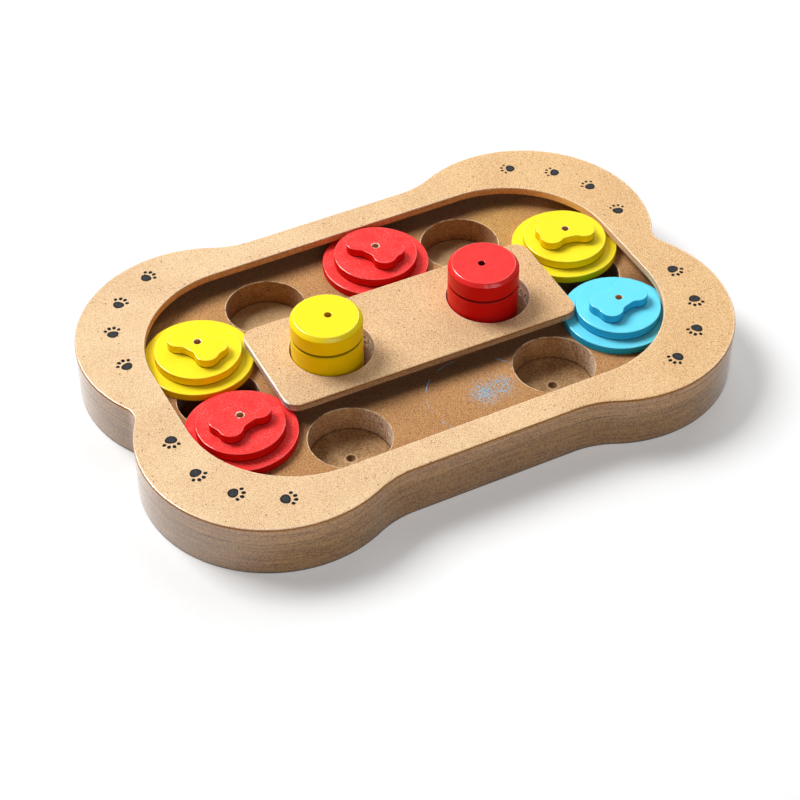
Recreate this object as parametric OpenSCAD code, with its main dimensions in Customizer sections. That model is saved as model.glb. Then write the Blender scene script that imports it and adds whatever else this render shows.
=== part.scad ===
// Bone-shaped board game for hiding treats: a thick base board with drilled wells,
// an undercut channel formed by a ring and a top frame, a bridge in the middle,
// five sliders trapped in the channel and two loose pegs in the bridge.
// Millimetres, +Z up, origin under the middle of the board, long side along X.

/* [Board outline] */
// radius of the four lobes
lobe_r = 64.8; // [58:0.1:70]
// how far the lobes reach past the channel at each end
end_wall = 22.3; // [16:0.1:28]
// width of the board beside the channel at the waist
side_wall = 8.7; // [6:0.1:14]
// how far the lobes stand out past the waist
lobe_rise = 10.7; // [8:0.1:14]
// radius of the hollow between waist and lobe
waist_fillet = 48; // [15:1:60]
// radius of the notch in the middle of each end
notch_fillet = 11; // [6:0.5:16]

/* [Layers] */
// thickness of the base board
base_t = 19; // [17:0.5:24]
// thickness of the top frame and of the bridge plank
frame_t = 4; // [3:0.25:6]

/* [Channel] */
// room on each side of a slider disc between frame and bridge
lane_play = 1.8; // [1.5:0.1:3]
// added lane width at the two ends
end_play = 0.6; // [0:0.1:2]
// room between the edge of a slider plate and the wall under the overhang
undercut_play = 1; // [0.5:0.1:2]
// room between the top of a slider plate and the overhang
plate_play = 1.8; // [0.8:0.1:3]
// added corner radius of the opening around the lane
corner_play = 1.6; // [0:0.1:3]

/* [Bridge] */
// wall of the bridge riser beside a peg hole
riser_side = 2.6; // [1.6:0.1:6]
// wall of the bridge riser past a peg hole, at each end
riser_end = 8.45; // [4:0.05:14]
// corner radius of the bridge riser
riser_corner = 2; // [1:0.5:4]
// corner radius of the bridge plank
bridge_corner = 7.6; // [5:0.1:10]
// how far the bridge sits off the middle, along the board
bridge_dx = 1.7; // [-3:0.1:3]
// how far the bridge sits off the middle, across the board
bridge_dy = -1; // [-3:0.1:3]
// turn of the bridge in degrees
bridge_turn = -0.6; // [-2:0.1:2]

/* [Wells] */
// radius of the treat wells
well_r = 20.3; // [18:0.1:22]
// depth of the wells in the base board
well_depth = 14; // [10:0.5:15]
// distance of the lane wells from the middle, along the board
well_x = 55.7; // [52:0.1:60]
// how far the lane wells sit off the lane middle, toward the bridge
well_in = 1.8; // [-2:0.1:3]
// shift of the two near wells along the board
near_shift = -1; // [-3:0.1:3]
// shift of the two far wells along the board
far_shift = 2.2; // [-3:0.1:3]
// how far the end wells sit off the lane middle, toward the bridge
end_well_in = 1.7; // [-2:0.1:3]
// place of the end wells across the board
end_well_y = 1.5; // [-3:0.1:3]
// radius of the drill mark in each well floor
mark_r = 2.2; // [1:0.1:4]
// depth of the drill mark
mark_depth = 2; // [1:0.25:3]

/* [Sliders] */
// radius of the slider plate that runs under the overhang
plate_r = 27.4; // [25.5:0.1:28]
// thickness of the slider plate
plate_t = 4; // [3:0.25:4.5]
// radius of the slider disc that shows between frame and bridge
disc_r = 21.4; // [20:0.1:22]
// thickness of the slider disc
disc_t = 5; // [4:0.25:7]
// rounding of plate and disc rims
rim_round = 0.5; // [0.3:0.1:1.5]
// room between slider plate and channel floor
floor_gap = 0.2; // [0.1:0.05:0.5]
// radius of the scent hole through each slider
scent_r = 1.8; // [1:0.1:2.5]

/* [Slider grips] */
// distance of the grip lobes from its middle, lengthwise
grip_x = 8.8; // [8:0.1:10]
// distance of the grip lobes from its middle, crosswise
grip_y = 3.5; // [3:0.1:4]
// radius of the grip lobes
grip_r = 5.9; // [5.4:0.1:6.4]
// half width of the grip waist
grip_waist = 7; // [6.5:0.1:7.5]
// radius of the hollow between grip waist and lobe
grip_fillet = 5; // [3:0.5:8]
// radius of the notch at each grip end
grip_notch = 8; // [4:0.5:12]
// thickness of the grip
grip_t = 4.8; // [3:0.2:7]

/* [Slider places] */
// gap between disc and frame end: yellow left slider
yellow_left_gap = 5.4; // [2:0.1:7]
// gap between disc and frame end: red left slider
red_left_gap = 3.1; // [2:0.1:5]
// gap between disc and frame end: yellow right slider
yellow_right_gap = 1.1; // [1:0.1:4]
// gap between disc and bridge corner: blue right slider
blue_right_gap = 0.36; // [0.3:0.02:2]
// side of the bridge corner where the blue right slider stands, in degrees
blue_right_way = -24.24; // [-60:0.02:-20]
// gap between disc and frame side: red far slider
red_far_gap = 0.4; // [0.3:0.1:3]
// place of the red far slider along the board
red_far_x = 10.4; // [0:0.1:20]
// free space between the two left plates
left_pair_gap = 1.6; // [1:0.1:3]
// middle of the left pair across the board
left_pair_y = 0.85; // [-1:0.05:2]
// free space between the two right plates
right_pair_gap = 4.3; // [3:0.1:6]

/* [Slider turns] */
// turn of the yellow left grip in degrees
yellow_left_turn = -62; // [-90:1:90]
// turn of the red left grip in degrees
red_left_turn = 18; // [-90:1:90]
// turn of the red far grip in degrees
red_far_turn = -64; // [-90:1:90]
// turn of the yellow right grip in degrees
yellow_right_turn = -8; // [-90:1:90]
// turn of the blue right grip in degrees
blue_right_turn = 15; // [-90:1:90]

/* [Pegs] */
// radius of the pegs
peg_r = 17.75; // [16:0.05:18.5]
// height of the pegs above the bridge
peg_stand = 22; // [15:0.5:30]
// edge bevel at the top of the pegs
peg_bevel = 2; // [1:0.25:3]
// edge bevel at the foot of the pegs
peg_foot = 1; // [0.5:0.25:2]
// depth of the groove below the top of the pegs
groove_drop = 11.6; // [8:0.2:14]
// width of the groove
groove_w = 1.8; // [1:0.1:3]
// depth of the groove into the peg
groove_depth = 1; // [0.5:0.1:2]
// radius of the blind hole in the peg top
peg_hole_r = 1.8; // [1:0.1:2.5]
// depth of the blind hole in the peg top
peg_hole_depth = 14; // [8:1:20]
// how far the blind hole is off the peg axis
peg_hole_off = 1.1; // [0:0.1:2]
// room all round a peg in its hole
peg_play = 3.05; // [2.4:0.05:3.3]
// space left on the side a peg stands nearest to
peg_gap = 0.4; // [0.3:0.05:1]
// distance of the peg holes from the middle of the bridge
peg_x = 43.25; // [36:0.05:50]
// side of its hole where the yellow peg stands, in degrees
yellow_peg_side = 193; // [0:1:360]
// side of its hole where the red peg stands, in degrees
red_peg_side = 171; // [0:1:360]

/* [Curves] */
// segments of round shapes
facets = 96; // [48:8:160]

/* [Hidden] */
$fn = facets;
eps = 0.05;
fillet_bite = 0.001;
ring_t = floor_gap + plate_t + plate_play;
floor_z = base_t;
under_z = base_t + ring_t;
top_z = under_z + frame_t;
overhang = plate_r - disc_r + undercut_play;
lane_w = 2 * (disc_r + lane_play);
peg_hole = peg_r + peg_play;
riser_l = peg_x + peg_hole + riser_end;
riser_w = peg_hole + riser_side;
bridge_l = riser_l + overhang;
bridge_w = riser_w + overhang;
open_l = bridge_l + lane_w + end_play;
open_w = bridge_w + lane_w;
open_corner = lane_w + bridge_corner + corner_play;
ring_l = open_l + overhang;
ring_w = open_w + overhang;
waist = ring_w + side_wall;
lobe_x = ring_l + end_wall - lobe_r;
lobe_y = waist + lobe_rise - lobe_r;
well_y = bridge_w + lane_w / 2 - well_in;
end_well_x = bridge_l + (lane_w + end_play) / 2 - end_well_in;
plate_z = floor_z + floor_gap;
disc_z = plate_z + plate_t;
grip_z = disc_z + disc_t;
well_z = base_t - well_depth;
peg_z = well_z + floor_gap;
peg_top = top_z + peg_stand;
peg_shift = peg_play - peg_gap;

// places of the six treat wells: near pair, far pair, end pair
well_places = [
  [near_shift - well_x, -well_y],
  [near_shift + well_x, -well_y],
  [far_shift - well_x, well_y],
  [far_shift + well_x, well_y],
  [-end_well_x, end_well_y],
  [end_well_x, end_well_y]
];

// place along the board of a slider that stands off the frame end by a gap
function end_place(gap) = open_l - disc_r - gap;

// place on the board of a point given in the bridge's own directions
function on_bridge(x, y) = [
  bridge_dx + x * cos(bridge_turn) - y * sin(bridge_turn),
  bridge_dy + x * sin(bridge_turn) + y * cos(bridge_turn)
];

left_step = plate_r + left_pair_gap / 2;
right_step = 2 * plate_r + right_pair_gap;
blue_reach = bridge_corner + disc_r + blue_right_gap;
blue_right = on_bridge(bridge_l - bridge_corner, bridge_corner - bridge_w)
  + blue_reach * [cos(blue_right_way), sin(blue_right_way)];
yellow_right = [end_place(yellow_right_gap), blue_right[1] + right_step];
yellow_left = [-end_place(yellow_left_gap), left_pair_y + left_step];
red_left = [-end_place(red_left_gap), left_pair_y - left_step];
red_far = [red_far_x, open_w - disc_r - red_far_gap];

board_tan = [0.93, 0.8, 0.62];
core_tan = [0.72, 0.55, 0.4];
paint_yellow = [1, 0.9, 0.1];
paint_red = [0.87, 0.13, 0.14];
paint_blue = [0.32, 0.78, 0.93];

// which node is drawn

// bone-shaped sheet of height h: four lobes, a straight waist, hollow fillets, notched ends;
// each fillet bites in by a hair, so that it meets its neighbours at an angle
module bone(h, x, y, r, w, side_r, end_r) {
  side_bite = side_r * fillet_bite;
  end_bite = end_r * fillet_bite;
  side_y = w + side_r - side_bite;
  side_x = x - sqrt(pow(r + side_r - side_bite, 2) - pow(side_y - y, 2));
  side_edge = side_x - sqrt(side_r * side_bite / 2);
  end_x = x + sqrt(pow(r + end_r - end_bite, 2) - y * y);
  difference() {
    linear_extrude(h)
      polygon([
        [side_edge, w], [side_edge, side_y], [x, y], [end_x, 0], [x, -y],
        [side_edge, -side_y], [side_edge, -w], [-side_edge, -w], [-side_edge, -side_y],
        [-x, -y], [-end_x, 0], [-x, y], [-side_edge, side_y], [-side_edge, w]
      ]);
    for (sx = [-1, 1]) {
      translate([sx * end_x, 0, -1]) cylinder(h = h + 2, r = end_r);
      for (sy = [-1, 1])
        translate([sx * side_x, sy * side_y, -1]) cylinder(h = h + 2, r = side_r);
    }
  }
  for (sx = [-1, 1])
    for (sy = [-1, 1])
      translate([sx * x, sy * y, 0]) cylinder(h = h, r = r);
}

// rectangle with round corners, half sizes l and w
module round_rect(l, w, r) {
  square([2 * l, 2 * w - 2 * r], center = true);
  square([2 * l - 2 * r, 2 * w], center = true);
  for (sx = [-1, 1])
    for (sy = [-1, 1])
      translate([sx * (l - r), sy * (w - r)]) circle(r);
}

// one sheet of the board, with the whole outline
module board_sheet(h) {
  bone(h, lobe_x, lobe_y, lobe_r, waist, waist_fillet, notch_fillet);
}

// puts the bridge pieces on their place
module at_bridge(z) {
  translate([bridge_dx, bridge_dy, z]) rotate([0, 0, bridge_turn]) children();
}

module peg_holes_2d() {
  for (sx = [-1, 1])
    translate([sx * peg_x, 0]) circle(peg_hole);
}

// drilled well with the mark of the drill tip in its floor
module well(r) {
  translate([0, 0, well_z]) cylinder(h = well_depth + 1, r = r);
  translate([0, 0, well_z - mark_depth]) cylinder(h = mark_depth + eps, r1 = mark_r / 4, r2 = mark_r);
}

module base_board() {
  color(core_tan)
    difference() {
      board_sheet(base_t);
      for (place = well_places)
        translate(place) well(well_r);
      at_bridge(0)
        for (sx = [-1, 1])
          translate([sx * peg_x, 0]) well(peg_hole);
    }
}

// sheet of the board with a round-cornered opening, half sizes l and w
module open_sheet(h, l, w, r) {
  difference() {
    board_sheet(h);
    translate([0, 0, -1])
      linear_extrude(h + 2) round_rect(l, w, r);
  }
}

module channel_ring() {
  color(core_tan)
    translate([0, 0, floor_z])
      open_sheet(ring_t, ring_l, ring_w, open_corner + overhang);
}

module top_frame() {
  color(board_tan)
    translate([0, 0, under_z])
      open_sheet(frame_t, open_l, open_w, open_corner);
}

module bridge_riser() {
  color(core_tan)
    at_bridge(floor_z)
      linear_extrude(ring_t)
        difference() {
          round_rect(riser_l, riser_w, riser_corner);
          peg_holes_2d();
        }
}

module bridge_plank() {
  color(board_tan)
    at_bridge(under_z)
      linear_extrude(frame_t)
        difference() {
          round_rect(bridge_l, bridge_w, bridge_corner);
          peg_holes_2d();
        }
}

// flat round piece with a rounded upper rim and the scent hole
module round_piece(r, t) {
  difference() {
    rotate_extrude() {
      square([r - rim_round, t]);
      square([r, t - rim_round]);
      translate([r - rim_round, t - rim_round]) circle(rim_round);
    }
    translate([0, 0, -1]) cylinder(h = t + 2, r = scent_r);
  }
}

module plate(place) {
  translate([place[0], place[1], plate_z]) round_piece(plate_r, plate_t);
}

module disc(place) {
  translate([place[0], place[1], disc_z]) round_piece(disc_r, disc_t);
}

module grip(place, turn) {
  translate([place[0], place[1], grip_z])
    rotate([0, 0, turn])
      difference() {
        bone(grip_t, grip_x, grip_y, grip_r, grip_waist, grip_fillet, grip_notch);
        translate([0, 0, -1]) cylinder(h = grip_t + 2, r = scent_r);
      }
}

// turned peg: bevelled ends, one groove, a blind hole in the top
module peg(end, side, off) {
  h = peg_top - peg_z;
  at_bridge(peg_z)
    translate([end * peg_x, 0, 0])
      rotate([0, 0, side])
        translate([peg_shift, 0, 0])
          difference() {
            rotate_extrude()
              polygon([
                [0, 0], [peg_r - peg_foot, 0], [peg_r, peg_foot],
                [peg_r, h - groove_drop - groove_w / 2],
                [peg_r - groove_depth, h - groove_drop - groove_w / 2],
                [peg_r - groove_depth, h - groove_drop + groove_w / 2],
                [peg_r, h - groove_drop + groove_w / 2],
                [peg_r, h - peg_bevel], [peg_r - peg_bevel, h], [0, h]
              ]);
            translate([off, 0, h - peg_hole_depth]) cylinder(h = peg_hole_depth + 1, r = peg_hole_r);
          }
}

module yellow_left_plate() { color(paint_yellow) plate(yellow_left); }
module yellow_left_disc() { color(paint_yellow) disc(yellow_left); }
module yellow_left_grip() { color(paint_yellow) grip(yellow_left, yellow_left_turn); }
module red_left_plate() { color(paint_red) plate(red_left); }
module red_left_disc() { color(paint_red) disc(red_left); }
module red_left_grip() { color(paint_red) grip(red_left, red_left_turn); }
module red_far_plate() { color(paint_red) plate(red_far); }
module red_far_disc() { color(paint_red) disc(red_far); }
module red_far_grip() { color(paint_red) grip(red_far, red_far_turn); }
module yellow_right_plate() { color(paint_yellow) plate(yellow_right); }
module yellow_right_disc() { color(paint_yellow) disc(yellow_right); }
module yellow_right_grip() { color(paint_yellow) grip(yellow_right, yellow_right_turn); }
module blue_right_plate() { color(paint_blue) plate(blue_right); }
module blue_right_disc() { color(paint_blue) disc(blue_right); }
module blue_right_grip() { color(paint_blue) grip(blue_right, blue_right_turn); }
module yellow_peg() { color(paint_yellow) peg(-1, yellow_peg_side, -peg_hole_off); }
module red_peg() { color(paint_red) peg(1, red_peg_side, peg_hole_off); }

base_board();
channel_ring();
top_frame();
bridge_riser();
bridge_plank();
yellow_left_plate();
yellow_left_disc();
yellow_left_grip();
red_left_plate();
red_left_disc();
red_left_grip();
red_far_plate();
red_far_disc();
red_far_grip();
yellow_right_plate();
yellow_right_disc();
yellow_right_grip();
blue_right_plate();
blue_right_disc();
blue_right_grip();
yellow_peg();
red_peg();
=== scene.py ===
# %% [markdown]
# This treat puzzle is a bone-shaped board of glued fibreboard. Five painted sliders run in a
# channel round a bridge, and two loose pegs stand in holes in the bridge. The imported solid
# model already holds every size and every joint, so it is loaded first and nothing in it is
# moved. What follows dresses it: finer surfaces where light catches an edge, and finishes for
# the raw board, the paint and the printed paws.

# %% Load the solid model
import math
from functools import reduce

import bpy
import numpy as np
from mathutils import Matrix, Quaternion, Vector


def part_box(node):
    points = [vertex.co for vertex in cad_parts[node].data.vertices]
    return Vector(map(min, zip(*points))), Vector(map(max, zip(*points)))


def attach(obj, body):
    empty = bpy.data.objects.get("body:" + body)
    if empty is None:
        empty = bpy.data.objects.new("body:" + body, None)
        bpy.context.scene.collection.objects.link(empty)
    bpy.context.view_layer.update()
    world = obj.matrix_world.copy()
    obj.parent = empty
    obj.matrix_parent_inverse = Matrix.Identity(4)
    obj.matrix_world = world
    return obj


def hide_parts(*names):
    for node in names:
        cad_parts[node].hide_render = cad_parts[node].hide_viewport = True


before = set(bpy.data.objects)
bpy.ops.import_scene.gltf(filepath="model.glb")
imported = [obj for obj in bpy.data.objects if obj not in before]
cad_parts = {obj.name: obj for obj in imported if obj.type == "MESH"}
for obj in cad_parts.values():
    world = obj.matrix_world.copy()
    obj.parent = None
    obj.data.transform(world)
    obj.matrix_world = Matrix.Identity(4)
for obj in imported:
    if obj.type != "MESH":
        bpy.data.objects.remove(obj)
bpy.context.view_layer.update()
mm = 0.001
scene = bpy.context.scene

# %% [markdown]
# The camera stands where the photograph was taken: in front, to the left and well above the
# board. It could be turned by trial, but the edges of the board fix it much better. Its place,
# the point it looks at and its focal length were measured from them, and a small roll is left
# over because the photograph was not quite level.

# %% Camera
view_from = Vector((-346.81, -669.95, 696.04)) * mm
view_at = Vector((-28.83, -48.97, 29.0)) * mm
view_roll = math.radians(-0.095)
focal_px = 2032.36
image_px = 800
film_width = 36.0

lens = bpy.data.cameras.new("photo_camera")
lens.sensor_width = film_width
lens.lens = focal_px / image_px * film_width
camera = bpy.data.objects.new("photo_camera", lens)
scene.collection.objects.link(camera)
camera.location = view_from
camera.rotation_mode = "QUATERNION"
gaze = view_at - view_from
camera.rotation_quaternion = gaze.to_track_quat("-Z", "Y") @ Quaternion((0, 0, 1), view_roll)
scene.camera = camera
print("lens in mm:", round(lens.lens, 2), "distance in mm:", round(gaze.length / mm))

# %% [markdown]
# Every sheet and disc here is a flat ring: an outer outline, a hole, and walls with a small
# rounded edge. A Bevel modifier could round the solids, but it needs clean edges and the solid
# model is loose triangles. So each outline is worked out as points together with the direction
# that leads into the material. Moving a point along that direction gives the exact inset
# outline, and that is all a rounded edge needs.

# %% Outlines with their inward directions
def arc(centre, radius, start, stop, count):
    """Points of a circle arc, centre + radius * (cos a, sin a), and the directions (cos a, sin a)."""
    a = np.linspace(start, stop, count)
    away = np.stack([np.cos(a), np.sin(a)], 1)
    return np.asarray(centre) + radius * away, away


def circle(centre, radius, count):
    """Whole circle, counter-clockwise, with directions to its centre."""
    points, away = arc(centre, radius, 0, 2 * math.pi, count + 1)
    return points[:-1], -away[:-1]


def heading(way):
    """Angle of a direction, measured from the x axis."""
    return math.atan2(way[1], way[0])


def bone(lobe_at, lobe, waist, hollow, notch, count):
    """Bone outline, counter-clockwise, with directions into the bone.

    A quarter goes round the notch at the end, along the lobe, along the hollow beside it, and
    straight to the middle of the waist. The circles touch, so each ends where the line between
    two centres crosses it. The other quarters are mirror images.
    """
    lobe_at = np.asarray(lobe_at)
    notch_at = np.array([lobe_at[0] + math.sqrt((lobe + notch) ** 2 - lobe_at[1] ** 2), 0])
    hollow_y = waist + hollow
    hollow_back = math.sqrt((lobe + hollow) ** 2 - (hollow_y - lobe_at[1]) ** 2)
    hollow_at = np.array([lobe_at[0] - hollow_back, hollow_y])
    to_lobe = heading(lobe_at - notch_at)
    to_hollow = heading(hollow_at - lobe_at)
    a, a_in = arc(notch_at, notch, math.pi, to_lobe, count // 3)
    b, b_out = arc(lobe_at, lobe, to_lobe - math.pi, to_hollow, count)
    c, c_in = arc(hollow_at, hollow, to_hollow - math.pi, -math.pi / 2, count // 3)
    d = np.linspace((hollow_at[0], waist), (0, waist), count // 3)
    d_in = np.tile([0.0, -1.0], (len(d), 1))
    points = np.concatenate([a[:-1], b[:-1], c[:-1], d])
    inward = np.concatenate([a_in[:-1], -b_out[:-1], c_in[:-1], d_in])
    return mirrored(points), mirrored(inward)


def mirrored(quarter):
    """Four mirror images of a quarter outline, in one counter-clockwise round."""
    back = quarter[::-1]
    rounds = [quarter[:-1], back[:-1] * (-1, 1), quarter[:-1] * (-1, -1), back[:-1] * (1, -1)]
    return np.concatenate(rounds)


def round_opening(angles, half, corner):
    """Points of a round-cornered rectangle at the given angles, with directions out of it.

    A ray leaves the middle at each angle. It meets the nearer side at the smaller of
    half length / |cos| and half width / |sin|, and in a corner it meets the corner circle.
    """
    ray = np.stack([np.cos(angles), np.sin(angles)], 1)
    flat = (np.asarray(half) / np.maximum(np.abs(ray), 1e-9)).min(1)
    core = np.asarray(half) - corner
    centre = np.sign(ray) * core
    reach = (ray * centre).sum(1)
    room = reach ** 2 - (core ** 2).sum() + corner ** 2
    bend = reach + np.sqrt(np.maximum(room, 0))
    in_corner = np.all(np.abs(ray * flat[:, None]) > core, axis=1)
    points = ray * np.where(in_corner, bend, flat)[:, None]
    out = points - np.clip(points, -core, core)
    return points, out / np.linalg.norm(out, axis=1, keepdims=True)


frame_low, frame_high = (np.array(c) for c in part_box("top_frame"))
lobe = 64.8 * mm
lobe_at = frame_high[:2] - lobe
board_outline = bone(lobe_at, lobe, waist=92.5 * mm, hollow=48 * mm, notch=11 * mm, count=150)
print("board outline points:", len(board_outline[0]), "lobe centre in mm:", (lobe_at / mm).round(1))

# %% [markdown]
# A profile is the cut through a wall: it starts on the top face, goes round the edge and down
# the wall. Carrying it round an outline gives the whole wall as one grid of points. Each point
# also gets its distance from the outer rim and from the hole, kept as a UV map, so that a
# finish can darken a cut edge or chip the paint round a hole without knowing the shape.

# %% Profiles and ring-shaped solids
def edge_profile(top, bottom, radius, low_radius=0.0, steps=7, hold=0.35 * mm):
    """Rows (inset, height): top face, quarter circle, wall, and a smaller quarter circle below.

    On the upper curve inset = r (1 - cos a) and height = top - r + r sin a, with a from 90 to 0
    degrees. A row close to each end of the curve holds the flat faces flat when shaded.
    """
    a = np.linspace(math.pi / 2, 0, steps)
    b = a[::-1]
    upper = np.stack([radius * (1 - np.cos(a)), top - radius + radius * np.sin(a)], 1)
    lower = np.stack([low_radius * (1 - np.cos(b)), bottom + low_radius - low_radius * np.sin(b)], 1)
    above = [[radius + hold, top]]
    between = [[0, top - radius - hold], [0, bottom + low_radius + hold]]
    below = [[low_radius + hold, bottom]]
    rows = np.concatenate([above, upper, between, lower, below])
    return rows, radius * math.pi / 4 + hold


def along(rows, middle):
    """Length along a profile, positive on the top face, zero at the middle of its edge."""
    return middle - np.concatenate([[0], np.cumsum(np.linalg.norm(np.diff(rows, axis=0), axis=1))])


def carried(outline, rows):
    """Profile carried round an outline: point + inset * inward direction, at the row's height."""
    points, inward = outline
    flat = points[None] + rows[:, 0, None, None] * inward[None]
    height = np.broadcast_to(rows[:, 1, None, None], flat.shape[:2] + (1,))
    return np.concatenate([flat, height], 2)


def ring_solid(outer, outer_profile, inner, inner_profile):
    """Grid of a flat ring: up the hole wall, across the top face, down the outer wall.

    Returns the points as rows by columns, and for each point its distance from the outer rim
    and from the rim of the hole.
    """
    out_rows, in_rows = carried(outer, outer_profile[0]), carried(inner, inner_profile[0])
    across = np.linalg.norm(out_rows[0] - in_rows[0], axis=1)
    rim_out = along(*outer_profile)[:, None] + 0 * across
    hole_in = along(*inner_profile)[:, None] + 0 * across
    rim_in = np.broadcast_to(rim_out[0] + across, hole_in.shape)
    hole_out = np.broadcast_to(hole_in[0] + across, rim_out.shape)
    grid = np.concatenate([in_rows[::-1], out_rows])
    edges = np.stack([np.concatenate([rim_in, rim_out]), np.concatenate([hole_in[::-1], hole_out])], 2)
    return grid, edges


print("profile rows:", len(edge_profile(1, 0, 0.1)[0]))

# %% [markdown]
# The grids become meshes here. Blender can take points and faces one by one, but whole arrays
# are faster and shorter. Neighbouring rows and columns make the faces, the last column joins
# the first, and the last row joins the first too, which closes the underside. A blind hole
# has no such underside, so its two end rows get a flat cap each.

# %% Grid to mesh
def grid_faces(rows, columns, close_rows):
    """Four corners of each face of a grid that closes on itself, as an array of point numbers."""
    number = np.arange(rows * columns).reshape(rows, columns)
    if close_rows:
        number = np.concatenate([number, number[:1]])
    number = np.concatenate([number, number[:, :1]], 1)
    return np.stack([number[:-1, :-1], number[1:, :-1], number[1:, 1:], number[:-1, 1:]], 2)


def mesh_piece(name, points, faces, edges, finish, body, slot=None, stands_for=None):
    """New mesh object at the origin, smooth, with its distances from the edges as UV map."""
    mesh = bpy.data.meshes.new(name)
    mesh.from_pydata(points.reshape(-1, 3).tolist(), [], faces)
    corner = np.zeros(len(mesh.loops), int)
    mesh.loops.foreach_get("vertex_index", corner)
    mesh.uv_layers.new(name="edges").data.foreach_set("uv", edges.reshape(-1, 2)[corner].ravel())
    mesh.polygons.foreach_set("use_smooth", np.ones(len(mesh.polygons), bool))
    mesh.materials.append(finish)
    piece = bpy.data.objects.new(name, mesh)
    scene.collection.objects.link(piece)
    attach(piece, body)
    if stands_for:
        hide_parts(stands_for)
    return piece


def ring_piece(name, grid, edges, blind=False, **rest):
    """Mesh of a ring-shaped grid; a blind one gets a cap on its first and its last row."""
    rows, columns = grid.shape[:2]
    faces = grid_faces(rows, columns, not blind).reshape(-1, 4).tolist()
    if blind:
        number = np.arange(rows * columns).reshape(rows, columns)
        faces += [number[0].tolist(), number[-1, ::-1].tolist()]
    return mesh_piece(name, grid, faces, edges, **rest)


print("faces of a 3 by 4 ring:", grid_faces(3, 4, True).shape)

# %% [markdown]
# Finishes are built from shader nodes. Wiring nodes by hand hides the formula, so a small
# class stands for a socket and turns plus, minus and times into Math nodes. A finish
# then reads like the sentence it stands for, such as 1 - wear * 0.3. A second class holds one
# material and adds any other node with its settings first and its sockets after.

# %% Shader arithmetic
class Wire:
    """An output socket. Arithmetic with numbers and other wires adds Math nodes."""

    def __init__(self, finish, socket):
        self.finish = finish
        self.socket = socket

    def math(self, operation, a, b=0.0):
        """Math node that does the operation on a and b, numbers or wires."""
        return self.finish.node("ShaderNodeMath", {"operation": operation}, {0: a, 1: b})

    def __add__(self, other):
        return self.math("ADD", self, other)

    def __radd__(self, other):
        return self.math("ADD", other, self)

    def __sub__(self, other):
        return self.math("SUBTRACT", self, other)

    def __rsub__(self, other):
        return self.math("SUBTRACT", other, self)

    def __mul__(self, other):
        return self.math("MULTIPLY", self, other)

    def __rmul__(self, other):
        return self.math("MULTIPLY", other, self)

    def __abs__(self):
        return self.math("ABSOLUTE", self)

    def least(self, other):
        """The smaller of two values."""
        return self.math("MINIMUM", self, other)

    def most(self, other):
        """The greater of two values."""
        return self.math("MAXIMUM", self, other)


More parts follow.
